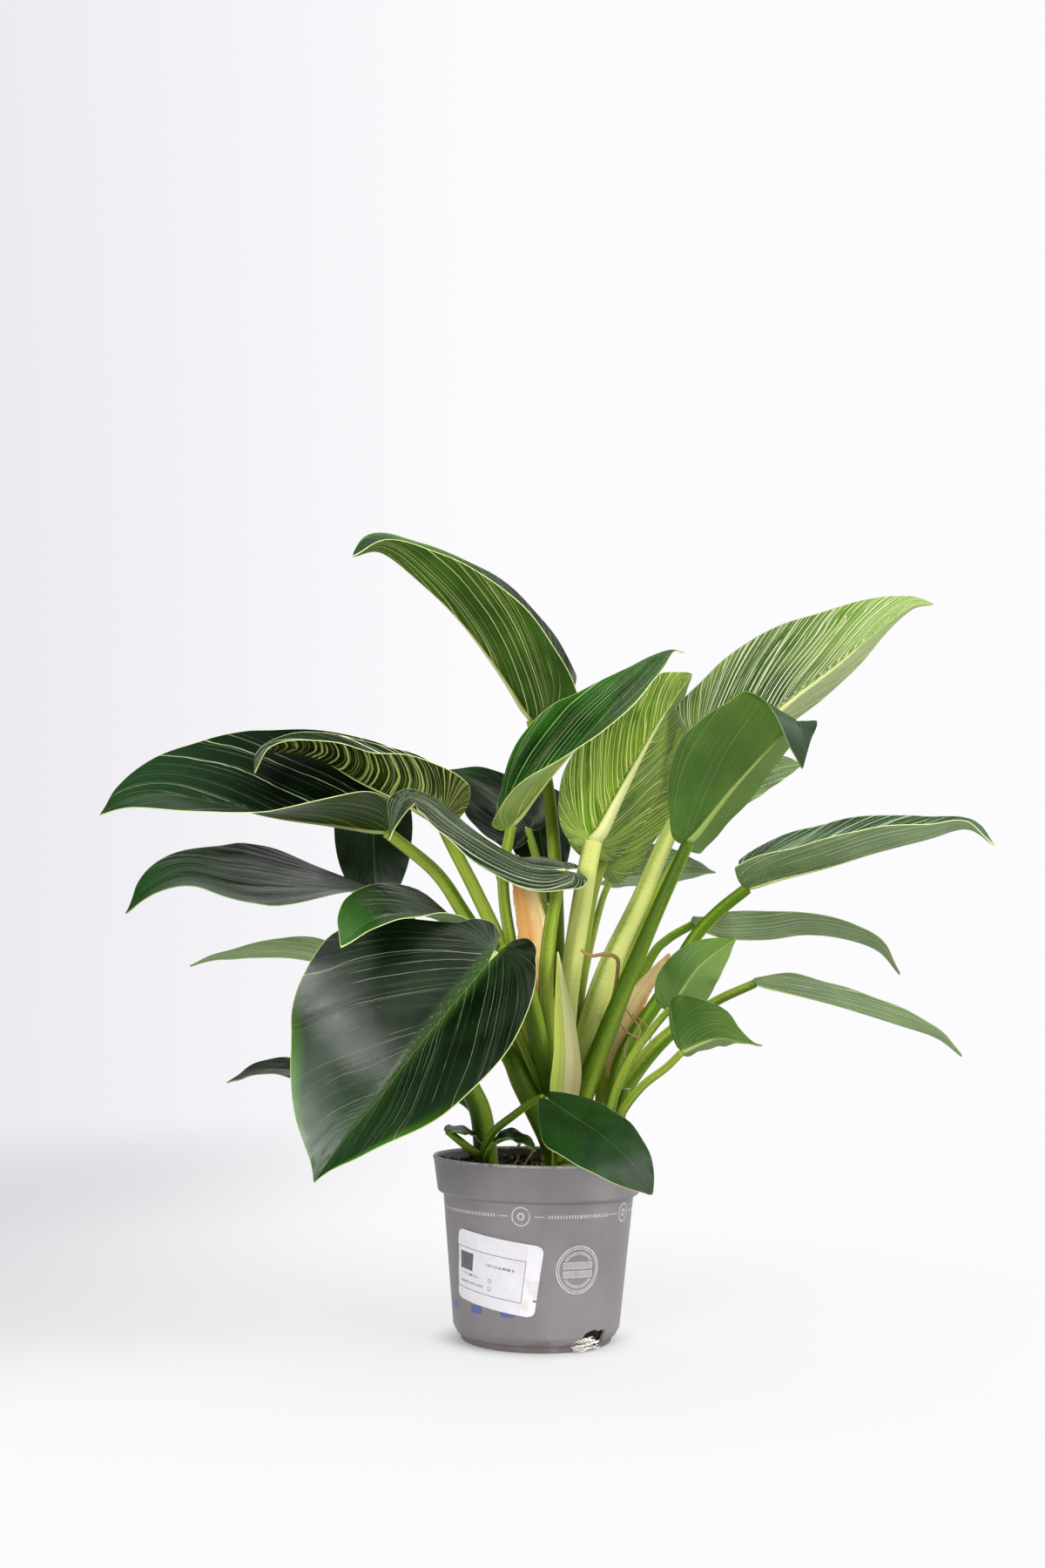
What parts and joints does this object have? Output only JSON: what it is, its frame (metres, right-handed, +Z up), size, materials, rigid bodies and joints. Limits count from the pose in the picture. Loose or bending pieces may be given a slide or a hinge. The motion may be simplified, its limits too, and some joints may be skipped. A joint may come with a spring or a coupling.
{
  "type": "philodendron birkin in a nursery pot",
  "caption": "Bushy striped philodendron in a round grey nursery pot: pointed dark green blades with fine cream veins on long pale green stalks.",
  "frame": {"origin": "centre of the pot's flat underside", "axes": "+Z up along the pot's axis; +X to the right and -Y towards the viewer of the side with the label"},
  "size_m": [0.493, 0.249, 0.454],
  "materials": {
    "pot_plastic": "warm grey moulded plastic with a satin sheen",
    "soil": "dark moist peat with crumbs, fibres and bark bits",
    "label_paper": "smooth white self-adhesive paper with plain printed bars",
    "root_wad": "pale fibrous root and fleece wad",
    "stem": "green stem, slightly ribbed, with brown scars",
    "stalk": "smooth fleshy leaf stalk, pale yellow-green to mid green, fine lengthwise streaks",
    "blade": "glossy leathery leaf, dark green above with thin cream veins, paler and more striped below",
    "pale_sheath": "thin cream-green leaf sheath",
    "dry_sheath": "dry papery orange-tan sheath with lengthwise creases",
    "root": "brown aerial root"
  },
  "bodies": {
    "root": {"stem_main": "stem", "stem_left": "stem", "stem_right": "stem", "cut_stub": "stem", "leaf_01_stalk": "stalk", "leaf_01_blade": "blade", "leaf_02_stalk": "stalk", "leaf_02_blade": "blade", "leaf_03_stalk": "stalk", "leaf_03_blade": "blade", "leaf_04_stalk": "stalk", "leaf_04_blade": "blade", "leaf_05_stalk": "stalk", "leaf_05_blade": "blade", "leaf_06_stalk": "stalk", "leaf_06_blade": "blade", "leaf_07_stalk": "stalk", "leaf_07_blade": "blade", "leaf_08_stalk": "stalk", "leaf_08_blade": "blade", "leaf_13_stalk": "stalk", "leaf_13_blade": "blade", "leaf_14_stalk": "stalk", "leaf_14_blade": "blade", "leaf_15_stalk": "stalk", "leaf_15_blade": "blade", "leaf_16_stalk": "stalk", "leaf_16_blade": "blade", "leaf_18_stalk": "stalk", "leaf_18_blade": "blade", "leaf_19_stalk": "stalk", "leaf_19_blade": "blade", "leaf_25_stalk": "stalk", "leaf_25_blade": "blade", "leaf_26_stalk": "stalk", "leaf_26_blade": "blade", "leaf_27_stalk": "stalk", "leaf_27_blade": "blade", "leaf_28_stalk": "stalk", "leaf_28_blade": "blade", "leaf_09": "blade", "leaf_10": "blade", "leaf_11": "blade", "leaf_12": "blade", "leaf_17": "blade", "leaf_20": "blade", "leaf_21": "blade", "leaf_22": "blade", "leaf_23": "blade", "leaf_24": "blade", "sheath_pale": "pale_sheath", "sheath_dry_left": "dry_sheath", "sheath_dry_right": "dry_sheath", "aerial_root": "root", "pot": "pot_plastic", "soil": "soil", "root_wad": "root_wad", "label": "label_paper"}
  },
  "joints": []
}
